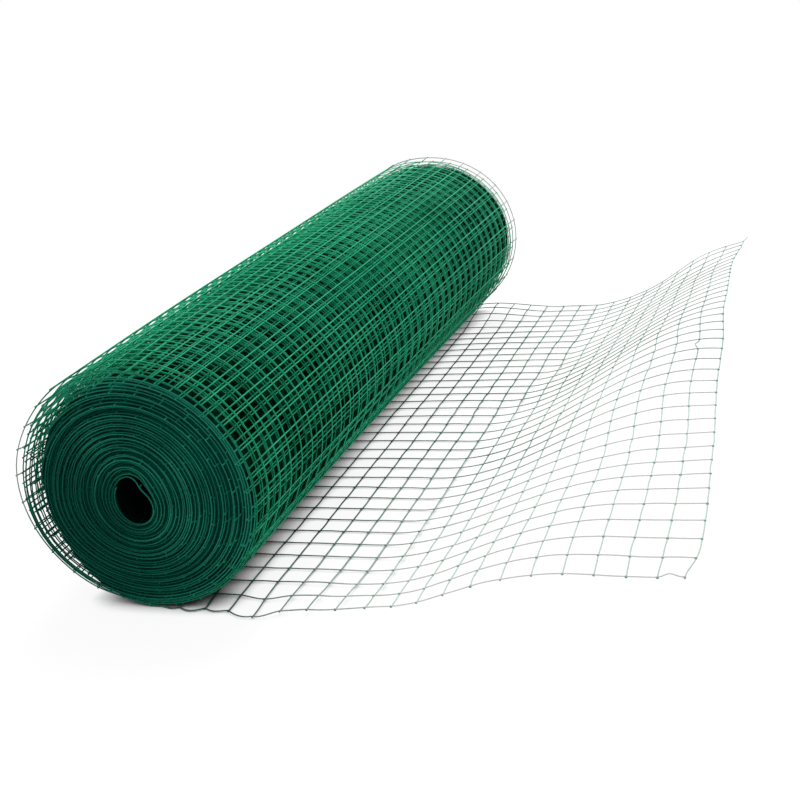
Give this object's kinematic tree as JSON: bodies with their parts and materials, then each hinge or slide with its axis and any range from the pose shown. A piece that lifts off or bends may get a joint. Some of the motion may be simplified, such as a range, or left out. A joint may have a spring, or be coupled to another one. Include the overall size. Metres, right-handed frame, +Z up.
{
  "type": "roll of wire fencing",
  "caption": "Roll of green plastic-coated welded wire fencing with a square mesh, lying on its side, its loose end run out flat over the floor and curling up at the free edge.",
  "frame": {"origin": "middle of the footprint, on the floor under the roll and its loose end", "axes": "+X out along the loose end, +Y along the axis of the roll from its front end to its back end, +Z up"},
  "size_m": [0.5749, 0.9012, 0.2294],
  "materials": {
    "coated_wire": "satin"
  },
  "bodies": {
    "root": {"roll": "coated_wire", "loose_end_flat": "coated_wire", "loose_end_bend": "coated_wire", "loose_end_tip": "coated_wire"}
  },
  "joints": []
}
